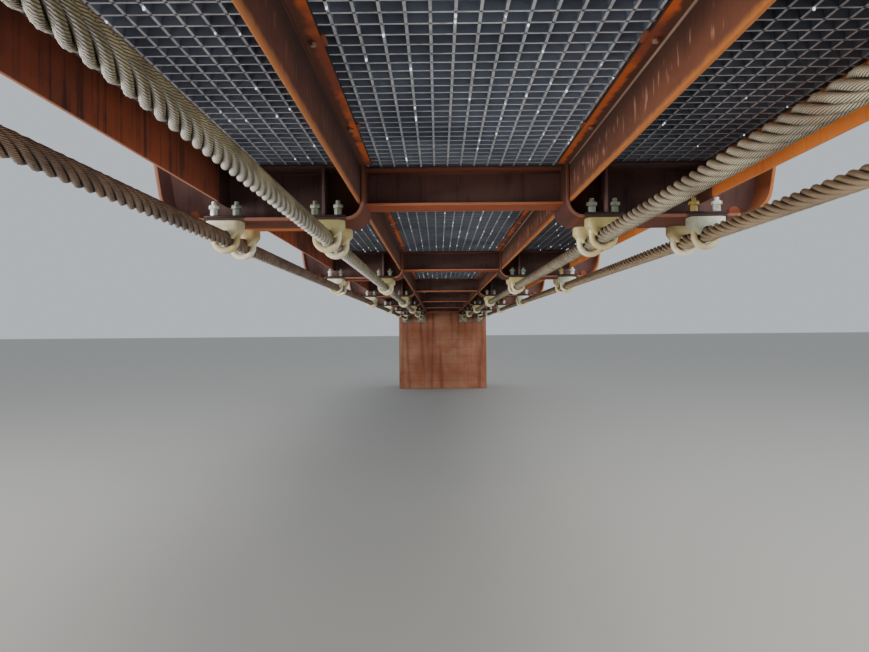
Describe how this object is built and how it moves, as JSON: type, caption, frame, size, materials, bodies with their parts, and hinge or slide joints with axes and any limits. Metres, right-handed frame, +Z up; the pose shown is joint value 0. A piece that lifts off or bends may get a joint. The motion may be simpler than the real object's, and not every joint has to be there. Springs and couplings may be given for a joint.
{
  "type": "suspension footbridge carried on ropes below its deck",
  "caption": "Short footbridge of weathering steel cross-frames and stringers under a closed grating deck, clamped on taut wire ropes that run between concrete abutments.",
  "frame": {"origin": "middle of the bridge at ground level, under the centre of the deck", "axes": "+Y along the bridge to the far abutment, +X across it to the right, +Z up"},
  "size_m": [2.0414, 14.5, 2.5984],
  "materials": {
    "weathering_steel": "rusted weathering steel, matt, streaked",
    "dark_weathering_steel": "rusted weathering steel, dark and streaked",
    "grating": "grey moulded grating, satin",
    "wire_rope": "weathered galvanised wire rope",
    "galvanised_steel": "dull galvanised steel",
    "zinc_casting": "cream yellow zinc-plated casting",
    "concrete": "rust-stained board-marked concrete"
  },
  "bodies": {
    "root": {"cross_frame_0": "weathering_steel", "cross_frame_1": "weathering_steel", "cross_frame_2": "weathering_steel", "cross_frame_3": "weathering_steel", "cross_frame_4": "weathering_steel", "cross_frame_5": "weathering_steel", "cross_frame_6": "weathering_steel", "deck_panel_1": "grating", "deck_panel_2": "grating", "deck_panel_3": "grating", "deck_panel_4": "grating", "deck_panel_5": "grating", "deck_panel_6": "grating", "inner_stringer_left_1": "dark_weathering_steel", "inner_stringer_left_2": "dark_weathering_steel", "inner_stringer_left_3": "dark_weathering_steel", "inner_stringer_left_4": "dark_weathering_steel", "inner_stringer_left_5": "dark_weathering_steel", "inner_stringer_left_6": "dark_weathering_steel", "inner_rope_left": "wire_rope", "outer_stringer_left_1": "dark_weathering_steel", "outer_stringer_left_2": "dark_weathering_steel", "outer_stringer_left_3": "dark_weathering_steel", "outer_stringer_left_4": "dark_weathering_steel", "outer_stringer_left_5": "dark_weathering_steel", "outer_stringer_left_6": "dark_weathering_steel", "outer_rope_left": "wire_rope", "balustrade_left": "galvanised_steel", "inner_stringer_right_1": "dark_weathering_steel", "inner_stringer_right_2": "dark_weathering_steel", "inner_stringer_right_3": "dark_weathering_steel", "inner_stringer_right_4": "dark_weathering_steel", "inner_stringer_right_5": "dark_weathering_steel", "inner_stringer_right_6": "dark_weathering_steel", "inner_rope_right": "wire_rope", "outer_stringer_right_1": "dark_weathering_steel", "outer_stringer_right_2": "dark_weathering_steel", "outer_stringer_right_3": "dark_weathering_steel", "outer_stringer_right_4": "dark_weathering_steel", "outer_stringer_right_5": "dark_weathering_steel", "outer_stringer_right_6": "dark_weathering_steel", "outer_rope_right": "wire_rope", "balustrade_right": "galvanised_steel", "near_abutment": "concrete", "far_abutment": "concrete"}
  },
  "joints": []
}
